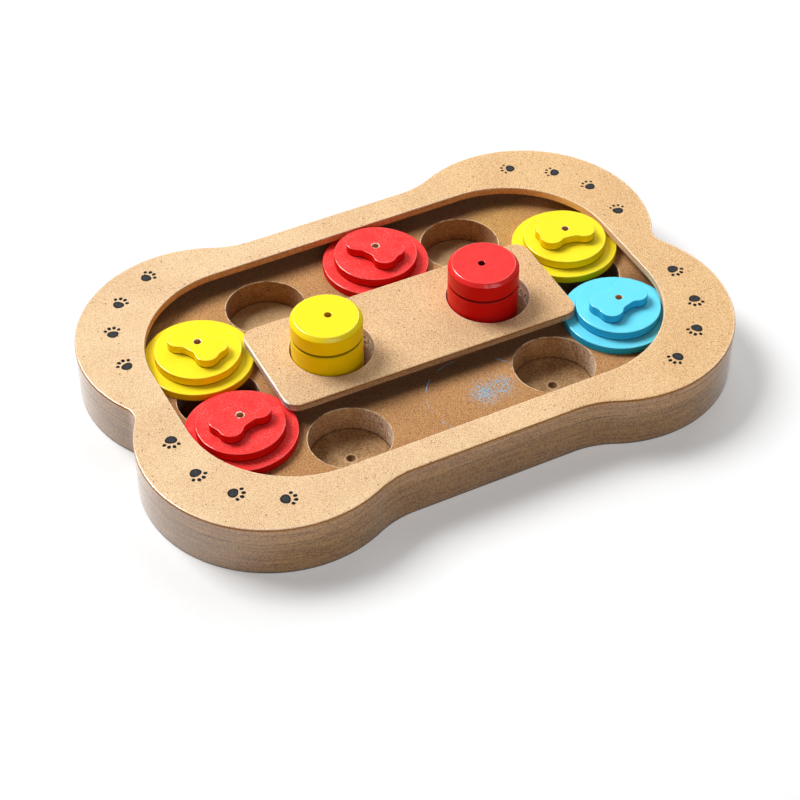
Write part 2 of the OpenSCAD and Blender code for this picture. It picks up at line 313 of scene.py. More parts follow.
class Finish:
    """One material: a Principled shader and the nodes that feed it."""

    def __init__(self, name, **constants):
        self.material = bpy.data.materials.new(name)
        self.material.use_nodes = True
        self.tree = self.material.node_tree
        self.shader = self.tree.nodes["Principled BSDF"]
        for socket, value in constants.items():
            self.shader.inputs[socket.replace("_", " ")].default_value = value
        self.place = self.node("ShaderNodeTexCoord", {}, {}, "Object")

    def node(self, kind, settings, sockets, output=0):
        """Adds a node, sets its settings, then its sockets by value or by link."""
        made = self.tree.nodes.new(kind)
        for name, value in settings.items():
            setattr(made, name, value)
        for name, value in sockets.items():
            if isinstance(value, Wire):
                self.tree.links.new(value.socket, made.inputs[name])
            else:
                made.inputs[name].default_value = value
        return Wire(self, made.outputs[output])

    def feed(self, **sockets):
        """Links wires to the shader's own sockets."""
        for name, wire in sockets.items():
            self.tree.links.new(wire.socket, self.shader.inputs[name.replace("_", " ")])

    def noise(self, scale, detail=2.0, rough=0.5, at=None):
        """Smooth noise about a mean of 0.5, with scale swings in a metre of its coordinates."""
        sockets = {"Vector": at or self.place, "Scale": scale, "Detail": detail, "Roughness": rough}
        return self.node("ShaderNodeTexNoise", {}, sockets, "Fac")

    def cells(self, scale):
        """Distance from the nearest of scattered points, in units of 1 / scale."""
        sockets = {"Vector": self.place, "Scale": scale}
        return self.node("ShaderNodeTexVoronoi", {}, sockets, "Distance")

    def drawn_out(self, scale, turn=0.0):
        """Coordinates scaled differently along three axes and turned about z, for streaks."""
        sockets = {"Vector": self.place, "Rotation": (0, 0, turn), "Scale": scale}
        return self.node("ShaderNodeMapping", {"vector_type": "TEXTURE"}, sockets, "Vector")

    def rise(self, value, low, high):
        """Smooth step: 0 up to low, 1 from high on; with low above high it falls instead."""
        sockets = {"Value": value, "From Min": low, "From Max": high}
        return self.node("ShaderNodeMapRange", {"interpolation_type": "SMOOTHSTEP"}, sockets)

    def band(self, value, low, full, last, high):
        """Window: 0 up to low, 1 from full to last, and 0 again from high on."""
        return self.rise(value, low, full) * self.rise(value, high, last)

    def mix(self, share, a, b):
        """Colour a with a share of colour b laid over it."""
        return self.node("ShaderNodeMix", {"data_type": "RGBA"}, {0: share, 6: a, 7: b}, 2)

    def tint(self, share, a, b):
        """Colour a multiplied by a share of colour b, so that its grain stays."""
        settings = {"data_type": "RGBA", "blend_type": "MULTIPLY"}
        return self.node("ShaderNodeMix", settings, {0: share, 6: a, 7: b}, 2)

    def part(self, vector, axis):
        """One of the X, Y and Z parts of a vector."""
        return self.node("ShaderNodeSeparateXYZ", {}, {0: vector}, axis)

    def dot(self, a, b):
        """Dot product: the products of the parts of two vectors, added up."""
        return self.node("ShaderNodeVectorMath", {"operation": "DOT_PRODUCT"}, {0: a, 1: b}, "Value")

    def apart(self, point):
        """Distance from an upright axis through a point, seen from above."""
        flat = self.node("ShaderNodeVectorMath", {"operation": "MULTIPLY"}, {0: self.place, 1: (1, 1, 0)})
        sockets = {0: flat, 1: (point[0], point[1], 0)}
        return self.node("ShaderNodeVectorMath", {"operation": "DISTANCE"}, sockets, "Value")

    def bearing(self, point):
        """Angle in degrees round an upright axis through a point, 0 towards minus x."""
        x, y = (point[k] - self.part(self.place, axis) for k, axis in enumerate("XY"))
        return x.math("ARCTAN2", y, x) * (180 / math.pi)

    def normal(self):
        """Direction in which the surface faces."""
        return self.node("ShaderNodeNewGeometry", {}, {}, "Normal")

    def facing_up(self):
        """How far a face looks up: 1 on a level top, 0 on an upright wall."""
        return self.part(self.normal(), "Z")

    def edges(self):
        """Distances from the outer rim and from the hole, out of the piece's UV map."""
        where = self.node("ShaderNodeUVMap", {"uv_map": "edges"}, {}, "UV")
        return self.part(where, "X"), self.part(where, "Y")

    def bump(self, height, depth, strength):
        """Surface normal tilted by a height that goes from 0 to 1 over the given depth."""
        return self.node("ShaderNodeBump", {}, {"Height": height, "Distance": depth, "Strength": strength})


def rgb(red, green, blue):
    """Colour written as screen values from 0 to 255, as Blender's linear colour."""
    screen = np.array([red, green, blue]) / 255
    linear = np.where(screen > 0.04045, ((screen + 0.055) / 1.055) ** 2.4, screen / 12.92)
    return (*linear.tolist(), 1.0)


print("tan as linear colour:", np.round(rgb(243, 208, 163), 3))

# %% [markdown]
# Fibreboard is pressed wood fibre. From close by its face is a felt of pale threads on tan,
# with a few dark bark flecks, and a sawn edge is browner and streaked along the layers. An
# image of real board would do it, but noise at several sizes gives the same look at any scale
# and never repeats. A clear coat on cut and rounded edges stands for the seal on them.

# %% Fibreboard felt
sealed_board = dict(Specular_IOR_Level=0.06, Coat_IOR=1.72, Coat_Roughness=0.13, Sheen_Weight=0.15)
# Dark and light tan, pale thread and dark fleck
face_felt = rgb(184, 130, 82), rgb(255, 226, 180), rgb(255, 236, 206), rgb(116, 74, 42)
# Pale grey of the painted sheen on walls that face the ends
end_sheen_pale = rgb(226, 218, 214)
thread_size = (3.0 * mm, 0.45 * mm, 1 * mm)
thread_turns = (0.4, 1.7, 2.6)
streak_size = (22 * mm, 22 * mm, 1.1 * mm)
grain_mean = 0.72


def felt(f):
    """Three wires from 0 to 1: fine grain, pale threads, and dark flecks.

    Threads are the greatest of three noises, each drawn out in its own direction. Flecks are
    the middles of Voronoi cells, kept where a wider noise is high.
    """
    grain = f.rise(f.noise(3200, detail=1), 0.35, 0.56)
    streaks = [f.noise(1, detail=1, at=f.drawn_out(thread_size, turn)) for turn in thread_turns]
    threads = f.rise(reduce(Wire.most, streaks), 0.66, 0.75)
    dust = f.rise(f.cells(420), 0.18, 0.11) * f.rise(f.noise(210, detail=1), 0.48, 0.54)
    bark = f.rise(f.cells(230), 0.14, 0.08) * f.rise(f.noise(80, detail=1), 0.5, 0.56)
    return grain, threads, dust.most(bark)


def felt_colour(f, dark, light, thread, fleck, coarse):
    """Tan between two shades by the grain, threads laid over it, flecks over both.

    The grain swings by the share coarse about its mean, and a cloud adds a slow change.
    """
    grain, threads, flecks = felt(f)
    cloud = f.rise(f.noise(30), 0.3, 0.7)
    colour = f.mix((grain - grain_mean) * coarse + 0.61 + cloud * 0.15, dark, light)
    colour = f.mix(threads * 0.7, colour, thread)
    colour = f.mix(flecks * 0.7, colour, fleck)
    return colour, grain, threads


def sawn_colour(f, dark, light, end_sheen=0.16):
    """Brown of a sawn edge: fine pores, faint streaks level with the sheets, and a painted pale sheen on
    walls that face the ends.
    """
    streak = f.noise(1, detail=3, rough=0.6, at=f.drawn_out(streak_size))
    pores = f.noise(1100, rough=0.6)
    colour = f.mix(f.rise(streak * 0.4 + pores * 0.6, 0.36, 0.64), dark, light)
    # Painted sheen: walls that face left or right are laid over with pale grey, as a grazing reflection.
    end = f.rise(abs(f.part(f.normal(), "X")), 0.3, 0.95)
    return f.mix(end * end_sheen, colour, end_sheen_pale)


print("felt from", np.round(face_felt[0][:3], 2), "to", np.round(face_felt[1][:3], 2))

# %% [markdown]
# The top frame and the bridge plank show both the felt face and a sawn edge. Which one is
# seen follows from how far the surface looks up. A thin burnt line runs along the outer edge
# where the router rubbed, and just inside it the rounded edge is sealed and catches the light.
# The plank's two ends are frayed instead, pale along the edge with torn fibres below it. All
# this follows the distance from the rim that the pieces carry in their UV map.

# %% Finish of the frame and the plank
burnt, fray_pale, torn_brown = rgb(166, 104, 48), rgb(255, 246, 236), rgb(112, 74, 50)
fibre_size = (0.7 * mm, 2.4 * mm, 0.5 * mm)


def board_top(f, x, frayed_and_sheened, tone):
    """Felt of a top face, coarser to the right and browner there as painted shade, times a tone, and its
    relief.
    """
    coarser_and_shaded = f.rise(x, -60 * mm, 150 * mm)
    coarse = coarser_and_shaded * 0.4 + 0.8 + 0.35 * frayed_and_sheened
    colour, grain, threads = felt_colour(f, *face_felt, coarse)
    # Painted shade: the face grows browner towards the right, where it gets less light.
    colour = f.tint(coarser_and_shaded, colour, rgb(252, 244, 228))
    return f.tint(1.0, colour, tone), grain * 0.7 + threads * 0.3


def board_wall(f, x, hole, sawn, inner, frayed_and_sheened):
    """Sawn outside, and in a hole the inner shades, with painted light towards the frame's right end."""
    # The plank's end walls get a stronger painted sheen than the frame's.
    outer = sawn_colour(f, *sawn, 0.16 + 0.4 * frayed_and_sheened)
    lining = sawn_colour(f, *inner, 0)
    # Painted light: the lining pales towards its right end, where the walls face the lamp.
    lining = f.mix(f.rise(x, 100 * mm, 124 * mm) * 0.4, lining, rgb(255, 226, 184))
    return f.mix(f.rise(hole, 1.2 * mm, 0.2 * mm), outer, lining)


def plank_ends(f, x):
    """1 on the last millimetres of the plank at either end, 0 between them."""
    left, right = (corner.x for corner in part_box("bridge_plank"))
    at_left = f.rise(x, left + 2.0 * mm, left + 1.2 * mm)
    at_right = f.rise(x, right - 2.0 * mm, right - 1.2 * mm)
    return at_left.most(at_right)


def face_board(name, sawn, inner, bore, frayed_and_sheened, tone):
    """Felt top and sawn walls, a burnt line along the rim, and pale torn ends on the plank.

    bore is the share of pale fuzz round a hole; frayed_and_sheened is 1 for the plank and 0 for the frame:
    it frays the plank's ends and gives its end walls more painted sheen.
    """
    f = Finish(name, Roughness=0.7, **sealed_board)
    rim, hole = f.edges()
    x = f.part(f.place, "X")
    face, relief = board_top(f, x, frayed_and_sheened, tone)
    wall = board_wall(f, x, hole, sawn, inner, frayed_and_sheened)
    colour = f.mix(f.rise(f.facing_up(), 0.45, 0.8), wall, face)
    patchy = f.rise(f.noise(160, detail=3), 0.3, 0.6)
    at_end = plank_ends(f, x) * frayed_and_sheened
    bored = f.band(hole, -0.5 * mm, -0.2 * mm, 0.3 * mm, 0.7 * mm)
    arris = f.band(rim, -0.5 * mm, -0.2 * mm, 0.1 * mm, 0.4 * mm)
    fray = arris.most(f.rise(rim, -3.0 * mm, -3.3 * mm)) * at_end * (patchy * 0.3 + 0.7)
    colour = f.mix((bored * bore).most(fray), colour, fray_pale)
    fibre = f.noise(1, at=f.drawn_out(fibre_size))
    torn = f.rise(fibre, 0.47, 0.55) * f.rise(rim, -0.5 * mm, -0.8 * mm) * at_end
    colour = f.mix(torn * 0.75, colour, torn_brown)
    line = f.band(rim, -1.1 * mm, -0.7 * mm, -0.1 * mm, 0.1 * mm) * (1 - at_end)
    colour = f.mix(line * (patchy * 0.3 + 0.6), colour, burnt)
    rounded = f.band(rim, -0.3 * mm, -0.1 * mm, (0.6 - 0.3 * frayed_and_sheened) * mm, (1.0 - 0.4 * frayed_and_sheened) * mm)
    rounded = rounded * (at_end + f.rise(abs(x), 80 * mm, 120 * mm) * (1 - frayed_and_sheened))
    sealed = (f.rise(rim, -1.0 * mm, -1.4 * mm) * (1 - torn)).most(rounded)
    sealed = sealed.most(bored * 0.6 * (1 - frayed_and_sheened))
    f.feed(Base_Color=colour, Coat_Weight=sealed, Normal=f.bump(relief, 0.1 * mm, 0.4))
    return f.material


frame_board = face_board(
    "frame_board", bore=0.12, frayed_and_sheened=0, tone=rgb(254, 252, 252),
    sawn=(rgb(138, 90, 42), rgb(194, 146, 87)), inner=(rgb(188, 122, 66), rgb(222, 160, 100)))
plank_board = face_board(
    "plank_board", bore=0.35, frayed_and_sheened=1, tone=rgb(247, 242, 239),
    sawn=(rgb(150, 114, 78), rgb(196, 158, 118)), inner=(rgb(150, 112, 78), rgb(225, 192, 152)))
print("finishes:", frame_board.name, plank_board.name)

# %% [markdown]
# The top frame is a sheet of board with a bone-shaped outline and a round-cornered opening.
# A lofted surface between two curves would twist where the curves differ, so the opening is
# looked up at the same angles as the points of the outline. Each column of the grid then
# crosses the frame along a ray from its middle.

# %% Top frame
opening_half = np.array([126.5, 76.8]) * mm
opening_corner = 55.6 * mm
frame_round, opening_round, under_round = 0.75 * mm, 0.55 * mm, 0.1 * mm
rays = np.arctan2(board_outline[0][:, 1], board_outline[0][:, 0])
opening = round_opening(rays, opening_half, opening_corner)
frame_grid = ring_solid(
    board_outline, edge_profile(frame_high[2], frame_low[2], frame_round, under_round),
    opening, edge_profile(frame_high[2], frame_low[2], opening_round, under_round))
ring_piece("top_frame_sheet", *frame_grid, finish=frame_board, body="board",
           slot="board_face", stands_for="top_frame")
print("frame grid:", frame_grid[0].shape)

# %% [markdown]
# The plank is a round-cornered board with two holes, which no single grid can cover. It is
# cut across the middle into two halves, each a ring round one hole. The outline of one half
# is enough, because the other is its mirror image. Points on the cut have no inward direction,
# so a profile carried along the cut stays on it.

# %% Outline of half the bridge plank
plank_low, plank_high = (np.array(c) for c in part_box("bridge_plank"))
plank_at = (plank_low + plank_high)[:2] / 2
plank_turn = math.radians(-0.6)
plank_half = np.array([79.5, 30.4]) * mm
plank_corner = 7.6 * mm
hole_x = 43.25 * mm
hole_radius = 20.8 * mm
plank_round = 0.9 * mm


def half_plank(count):
    """Right half of the plank, counter-clockwise from the cut, with inward directions.

    Straight runs and corner arcs in turn; points on the cut get no direction at all.
    """
    length, width = plank_half
    bend_x, bend_y = plank_half - plank_corner
    near = np.linspace((0, -width), (bend_x, -width), count)
    right_near = arc((bend_x, -bend_y), plank_corner, -math.pi / 2, 0, count // 2)
    end = np.linspace((length, -bend_y), (length, bend_y), count)
    right_far = arc((bend_x, bend_y), plank_corner, 0, math.pi / 2, count // 2)
    far = np.linspace((bend_x, width), (0, width), count)
    cut_y = np.linspace(width - plank_round, plank_round - width, count)[1:-1]
    cut = np.stack([0 * cut_y, cut_y], 1)
    runs = [(near, (0, 1)), (end, (-1, 0)), (far, (0, -1)), (cut, (0, 0))]
    straight = [(p, np.tile(np.array(way, float), (len(p), 1))) for p, way in runs]
    bends = [(p, -away) for p, away in (right_near, right_far)]
    order = [straight[0], bends[0], straight[1], bends[1], straight[2], straight[3]]
    points = np.concatenate([p[:-1] if k < 4 else p for k, (p, way) in enumerate(order)])
    inward = np.concatenate([way[:-1] if k < 4 else way for k, (p, way) in enumerate(order)])
    return points, inward


outline = half_plank(40)
print("half outline points:", len(outline[0]))

# %% [markdown]
# One half becomes a ring as the frame did. Along the cut there is no wall: those faces are
# left out. The mirror image is added, its faces turned round so that they still look outward,
# and points that fall together are merged, so the two halves become one closed board. Last it
# is turned by the small angle at which the plank was glued on.

# %% Bridge plank
def welded(points, faces, edges):
    """Merges points that fall on the same place and renumbers the faces."""
    key = np.round(points / (0.001 * mm)).astype(int)
    first, number = np.unique(key, axis=0, return_index=True, return_inverse=True)[1:]
    return points[first], number.ravel()[faces], edges[first]


from_hole = outline[0] - (hole_x, 0)
around = np.arctan2(from_hole[:, 1], from_hole[:, 0])
hole_out = np.stack([np.cos(around), np.sin(around)], 1)
hole_edge = (hole_out * hole_radius + (hole_x, 0), hole_out)
half_grid, half_edges = ring_solid(
    outline, edge_profile(plank_high[2], plank_low[2], plank_round, 0.4 * mm),
    hole_edge, edge_profile(plank_high[2], plank_low[2], 0.4 * mm, 0.1 * mm))
half_faces = grid_faces(*half_grid.shape[:2], True)
inner_rows = half_grid.shape[0] // 2
on_cut = ~outline[1].any(1)
half_edges[inner_rows:, on_cut, 0] = plank_half[1] - np.abs(outline[0][on_cut, 1])
touches_cut = on_cut | np.roll(on_cut, -1)
keep = np.ones(half_faces.shape[:2], bool)
keep[inner_rows:-1, touches_cut] = False
kept_faces = half_faces[keep]
half_points = half_grid.reshape(-1, 3)
both = np.concatenate([half_points, half_points * (-1, 1, 1)])
both_faces = np.concatenate([kept_faces, kept_faces[:, ::-1] + len(half_points)])
both_edges = np.concatenate([half_edges.reshape(-1, 2)] * 2)
turn_cos, turn_sin = math.cos(plank_turn), math.sin(plank_turn)
x, y, z = both.T
turned = np.stack([x * turn_cos - y * turn_sin, x * turn_sin + y * turn_cos, z], 1)
turned[:, :2] += plank_at
plank_points, plank_faces, plank_edges = welded(turned, both_faces, both_edges)
mesh_piece("bridge_plank_board", plank_points, plank_faces.tolist(), plank_edges,
           plank_board, "board", "board_face", "bridge_plank")
print("plank points:", len(plank_points), "merged:", len(turned) - len(plank_points))

# %% [markdown]
# The base board, the ring above it and the riser under the bridge are flat sheets with sharp
# edges, and they are mostly in shade, so the solid model's own meshes stay. They only need a
# finish. The channel floor is felt again, darkened by painted shade beside the bridge and under
# the far lip. A well is told from the floor by the distance from its axis. Its walls and floor
# are rough from the drill, with a burr on the rim and a mark where the drill's point went in.

# %% Channel floor and wells
well_radius = 20.3 * mm
wells = np.array([(-56.7, -51.8), (54.7, -51.8), (-53.5, 51.8), (57.9, 51.8)]) * mm
end_wells = np.array([(-101.3, 1.5), (101.3, 1.5)]) * mm
peg_ways = np.array([(-turn_cos, -turn_sin), (turn_cos, turn_sin)])
peg_wells = plank_at + hole_x * peg_ways
floor_z, ring_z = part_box("base_board")[1].z, frame_low[2]
well_z = floor_z - 14 * mm
mark_in = 17.4 * mm
floor_felt = rgb(132, 83, 43), rgb(212, 161, 107), rgb(222, 178, 126), rgb(80, 46, 24)
floor_coarse = 1.6


def nearest(f, places, radius):
    """Distance from the wall of the nearest of some round wells, negative inside it."""
    return reduce(Wire.least, [f.apart(place) for place in places]) - radius


def channel_floor(f, y):
    """Felt darkened by painted shade beside the bridge and under the far lip, and the grain of the felt.
    """
    floor, grain = felt_colour(f, *floor_felt, floor_coarse)[:2]
    # Painted shade: the floor darkens where the bridge and the far lip cast their shadows.
    painted_shade = f.band(y, -46 * mm, -34 * mm, -20 * mm, 0)
    painted_shade = painted_shade.most(f.rise(y, 61 * mm, 72 * mm) * 0.8)
    return f.mix(painted_shade * 0.62, floor, rgb(70, 34, 12)), grain


def well_colours(f, x, y, fuzz):
    """Wall and floor of a well: mottled, torn and painted pale as lit where a near wall looks left, darker
    as painted shade towards the far right.
    """
    mottle = f.rise(fuzz * 0.7 + f.noise(140) * 0.3, 0.3, 0.7)
    wall = f.mix(mottle, rgb(148, 106, 66), rgb(206, 168, 126))
    # Painted light: near walls that look left, towards the lamp, get pale torn fibres.
    looks_left = f.rise(f.part(f.normal(), "X"), -0.5, -0.95)
    torn = looks_left * f.rise(fuzz, 0.3, 0.65) * f.rise(y, 0, -20 * mm)
    wall = f.mix(torn * 0.8, wall, rgb(244, 228, 206))
    # Painted shade: walls darken and brown towards the far right.
    wall = f.tint(f.rise(x * 0.4 + y, -40 * mm, 20 * mm), wall, rgb(227, 206, 168))
    floor = f.mix(mottle, rgb(156, 116, 74), rgb(224, 184, 136))
    return wall, f.mix(f.rise(y, 0, 20 * mm) * 0.35, floor, rgb(255, 214, 160))


def well_marks(f, colour, height, from_treats, from_well):
    """Pale burr on a well's rim, painted shade in the corner at its foot, and a drill mark with a pale
    ring.
    """
    off_wall = abs(from_well)
    burr = f.rise(off_wall, 0.55 * mm, 0.2 * mm) * f.rise(height, floor_z - 0.7 * mm, floor_z - 0.3 * mm)
    colour = f.mix(burr * f.rise(f.noise(260, detail=3), 0.3, 0.6) * 0.8, colour, rgb(244, 220, 184))
    # Painted shade: the corner where a well's wall meets its floor is darkened.
    corner = f.rise(height, well_z + 1.0 * mm, well_z + 0.2 * mm) * f.rise(off_wall, 0.8 * mm, 0.2 * mm)
    colour = f.mix(corner * 0.55, colour, rgb(74, 48, 28))
    mark = f.rise(from_treats, -mark_in - 0.2 * mm, -mark_in - 1.0 * mm)
    colour = f.mix(mark * 0.75, colour, rgb(104, 62, 30))
    ring = f.rise(abs(from_treats + mark_in), 0.6 * mm, 0.2 * mm) * (1 - mark)
    return f.mix(ring * 0.5, colour, rgb(236, 204, 164))


print("wells:", len(wells) + len(end_wells), "peg wells in mm:", (peg_wells / mm).round(1).tolist())

# %% [markdown]
# Play has left its traces on the floor: arcs of blue where a plate's rim rubbed off paint in
# the near lane, a patch of blue specks inside, and yellow dust near the right end. They could
# be painted by hand, but a formula keeps them sharp. An arc is where the distance from the
# plate's middle is that of its rim and the bearing lies on one of a few stretches.

# %% Scuffs on the floor
rubbed_at, plate_rim = np.array([12.7, -54.2]) * mm, 26.8 * mm
# Stretches of the rim: bearing of the middle and half its width in degrees, and strength
rubbed_arcs = ((37, 9, 0.8), (103, 11, 0.6), (139, 10, 1.0), (172, 10, 0.4), (203, 7, 0.8))
patch_at, patch_two = np.array([(15.2, -54.0), (24.2, -53.0)]) * mm
dust_at = np.array([86, 54]) * mm


def scuffed(f, colour, on_floor):
    """Colour with blue arcs of a plate's rim, blue specks inside, and a haze of yellow dust."""
    turn = f.bearing(rubbed_at)
    rubbed = reduce(Wire.most, [f.rise(abs(turn - (middle - 180)), half + 3, half - 2) * share
                                for middle, half, share in rubbed_arcs])
    ring = f.rise(abs(f.apart(rubbed_at) - plate_rim), 0.32 * mm, 0.08 * mm)
    arcs = ring * rubbed * f.rise(f.noise(300), 0.36, 0.46)
    reach = f.rise(f.apart(patch_at), 15 * mm, 2 * mm) * 0.41
    reach = reach.most(f.rise(f.apart(patch_two), 15 * mm, 2 * mm) * 0.35)
    specks = f.rise(f.cells(1350) - reach, 0.06, 0.0)
    colour = f.mix(on_floor * arcs.most(specks), colour, rgb(110, 200, 238))
    dusty = f.rise(f.apart(dust_at), 26 * mm, 6 * mm) * f.rise(f.noise(1250, rough=0.6), 0.35, 0.6)
    return f.mix(on_floor * dusty * 0.3, colour, rgb(226, 188, 62))


print("rubbed arcs:", len(rubbed_arcs))

# %% [markdown]
# The base puts these together: floor and wells where it faces up or lies at a well, sawn board
# outside, a dark glue line where the sheets meet, and painted shade along the foot. The two end
# wells lie deep in shade under the sliders, and painted shade darkens them further. Ring and
# riser share a second finish of sawn board, darkened by painted shade where a wall faces the
# middle, and torn inside the peg holes.

# %% Finish of the base, the ring and the riser
outside_brown = rgb(117, 77, 34), rgb(178, 132, 73)
ring_brown = rgb(130, 86, 40), rgb(188, 140, 81)
glue_and_shade_dark = rgb(70, 48, 30)
tear_size = (1.6 * mm, 1.6 * mm, 0.7 * mm)


def glue_line(f, height, z, half_width):
    """1 on a level line round the board, fading over its half width, broken a little."""
    return f.rise(abs(height - z), half_width, half_width * 0.3) * f.rise(f.noise(120), 0.3, 0.5)


def base_finish():
    """Floor felt, wells with their marks, painted shade in the end wells and along the foot, sawn outside,
    glue line, scuffs.
    """
    f = Finish("base_board_core", Roughness=0.75, **sealed_board)
    x, y, height = (f.part(f.place, axis) for axis in "XYZ")
    up = f.rise(f.facing_up(), 0.45, 0.8)
    fuzz = f.noise(950, rough=0.65)
    floor, grain = channel_floor(f, y)
    well_wall, well_floor = well_colours(f, x, y, fuzz)
    from_end = nearest(f, end_wells, well_radius)
    from_treats = nearest(f, wells, well_radius).least(from_end)
    from_well = from_treats.least(nearest(f, peg_wells, hole_radius))
    in_well = f.rise(from_well, 0.15 * mm, -0.15 * mm)
    at_well = f.rise(from_well, 1.0 * mm, 0.5 * mm)
    wall = f.mix(at_well, sawn_colour(f, *outside_brown), well_wall)
    top = f.mix(f.rise(height, floor_z - 3 * mm, floor_z - 1 * mm), well_floor, floor)
    colour = f.mix(up, wall, top)
    # Painted shade: the two end wells under the sliders are darkened, less so on the right.
    deep = f.rise(from_end, 0.1 * mm, -0.1 * mm) * (0.58 - f.rise(x, 0, 60 * mm) * 0.28)
    colour = f.mix(deep, colour, rgb(60, 36, 20))
    colour = well_marks(f, colour, height, from_treats, from_well)
    line = glue_line(f, height, floor_z, 0.35 * mm) * (1 - at_well) * (1 - up)
    # Painted shade: the lowest millimetre of the outside walls is darkened as a contact shadow.
    line = line.most(f.rise(height, 1.0 * mm, 0.4 * mm) * (1 - at_well))
    colour = f.mix(line * 0.8, colour, glue_and_shade_dark)
    on_floor = up * f.rise(height, floor_z - 0.5 * mm, floor_z - 0.2 * mm) * (1 - in_well)
    colour = scuffed(f, colour, on_floor)
    relief = grain * 0.5 + fuzz * 0.5 * in_well
    f.feed(Base_Color=colour, Coat_Weight=(1 - at_well) * (1 - up), Normal=f.bump(relief, 0.12 * mm, 0.4))
    return f.material


def core_finish(name, dark, light):
    """Sawn board, darker as painted shade on walls that face the middle, torn in the peg holes, glue along
    its edges.

    A wall faces the middle where its normal times its place gives a negative dot product.
    """
    f = Finish(name, Roughness=0.75, **sealed_board)
    height = f.part(f.place, "Z")
    colour = sawn_colour(f, dark, light)
    # Painted shade: walls that face the middle, under the lip, are darkened.
    colour = f.mix(f.rise(f.dot(f.normal(), f.place), 0, -20 * mm), colour, rgb(104, 68, 40))
    fibre = f.noise(1, detail=3, rough=0.7, at=f.drawn_out(tear_size))
    torn = f.mix(f.rise(fibre, 0.43, 0.57), rgb(40, 24, 12), rgb(244, 212, 170))
    under_plank = f.rise(height, plank_low[2] - 0.7 * mm, plank_low[2] - 0.4 * mm)
    torn = f.mix(under_plank * 0.8, torn, rgb(250, 236, 214))
    in_hole = f.rise(nearest(f, peg_wells, hole_radius), 0.9 * mm, 0.5 * mm)
    colour = f.mix(in_hole, colour, torn)
    line = glue_line(f, height, floor_z, 0.3 * mm).most(glue_line(f, height, ring_z, 0.25 * mm) * 0.8)
    colour = f.mix(line * 0.8, colour, glue_and_shade_dark)
    f.feed(Base_Color=colour, Coat_Weight=1 - in_hole, Normal=f.bump(f.noise(900), 0.1 * mm, 0.3))
    return f.material


base_core = base_finish()
ring_core = core_finish("ring_core", *ring_brown)
for node, finish in (("base_board", base_core), ("channel_ring", ring_core), ("bridge_riser", ring_core)):
    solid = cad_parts[node]
    for place in solid.material_slots:
        place.material = finish
    print(node, "gets", finish.name)

# %% [markdown]
# The sliders and pegs are dipped in gloss paint. Paint pools a little, so the colour is not
# quite even, dust leaves specks, and a dark seam shows under disc and grip. Round a scent hole
# the paint chips down to white primer with raw board inside. The pegs' holes are painted inside,
# so they have no chip, and a peg's bevel has a gloss of its own. One function takes the paint's
# three shades and makes all the colours: the lighter is painted light on level tops, the darker
# is painted shade on walls, and the deep one darkens seams and, as painted shade, a peg's groove
# and the rim of its hole.

# %% Gloss paint
# Each paint: wall colour (painted shade), top colour (painted light) and a deep colour
yellow = rgb(255, 212, 0), rgb(255, 235, 40), rgb(96, 62, 0)
red = rgb(214, 18, 10), rgb(252, 60, 58), rgb(84, 0, 0)
blue = rgb(42, 182, 234), rgb(108, 226, 250), rgb(8, 56, 86)
raw_board, primer, dust_pale = rgb(206, 152, 96), rgb(250, 240, 226), rgb(255, 238, 232)
glint_side = (-0.28, -0.96, 0)


def peg_gloss(f, up, above, bend, groove):
    """Gloss of a peg: the bends of its bevel, a ragged glint in front, the wall's left side."""
    bevel = f.rise(up, 0.6, 0.68) * f.rise(above, 4 * mm, 6 * mm)
    front = f.rise(f.dot(f.normal(), glint_side), 0.672, 0.7)
    glint = front * f.rise(f.noise(420), 0.42, 0.56) * 0.9
    side = f.rise(f.part(f.normal(), "X"), -0.7, -0.98) * 0.2 * (1 - groove)
    return (bevel * bend.most(glint)).most(side)


def paint(name, wall, top, deep, inside, dust, chip_width, seams=(), groove_z=None):
    """Two shades of paint, lighter on tops and darker on walls as painted light and shade, dust specks, a
    chip round the hole, dark seams or a groove darkened as painted shade.

    A seam lies just above the height at which a piece was glued on. Where chip_width is 0 the
    paint goes on into the hole and turns deeper there as painted shade.
    """
    f = Finish(name, Specular_IOR_Level=0.03, Coat_IOR=1.8, Coat_Roughness=0.1)
    hole = f.edges()[1]
    up = f.facing_up()
    level = f.rise(up, 0.4, 0.95)
    gloss = f.band(up, 0.74, 0.82, 0.95, 0.99)
    height = f.part(f.place, "Z")
    pooled = f.rise(f.noise(45), 0.3, 0.7)
    # Painted light and shade: level tops get the lighter top colour, walls the darker wall colour.
    colour = f.mix((level * 0.94 + pooled * 0.12).least(1), wall, top)
    specks = f.rise(f.noise(2400, detail=1), 0.54, 0.7) * f.rise(f.noise(150), 0.3, 0.65)
    colour = f.mix(specks * level * dust, colour, dust_pale)
    ragged = (f.noise(800) - 0.36) * chip_width * 2.4
    chip = f.rise(hole - ragged, 0.08 * mm, -0.08 * mm)
    # For the pegs, with no chip, the paint just inside the hole turns deep as painted shade.
    colour = f.mix(chip, colour, primer if chip_width else deep)
    raw = f.rise(hole, -0.05 * mm, -0.25 * mm)
    colour = f.mix(raw, colour, inside)
    for z in seams:
        above = height - z
        seam = f.band(above, 0.02 * mm, 0.08 * mm, 0.45 * mm, 0.8 * mm) * (1 - level)
        colour = f.mix(seam * 0.85, colour, deep)
    if groove_z:
        above = height - groove_z
        # Painted shade: the groove is darkened towards the deep colour.
        groove = f.band(above, -0.8 * mm, -0.5 * mm, 1.0 * mm, 1.2 * mm)
        colour = f.mix(groove * 0.8, colour, deep)
        gloss = peg_gloss(f, up, above, gloss, groove)
    rough = f.noise(90, detail=3) * 0.14 + 0.28 + raw * 0.4
    peel = f.bump(f.noise(420), 0.04 * mm, 0.3)
    f.feed(Base_Color=colour, Coat_Weight=gloss, Roughness=rough, Normal=peel)
    return f.material


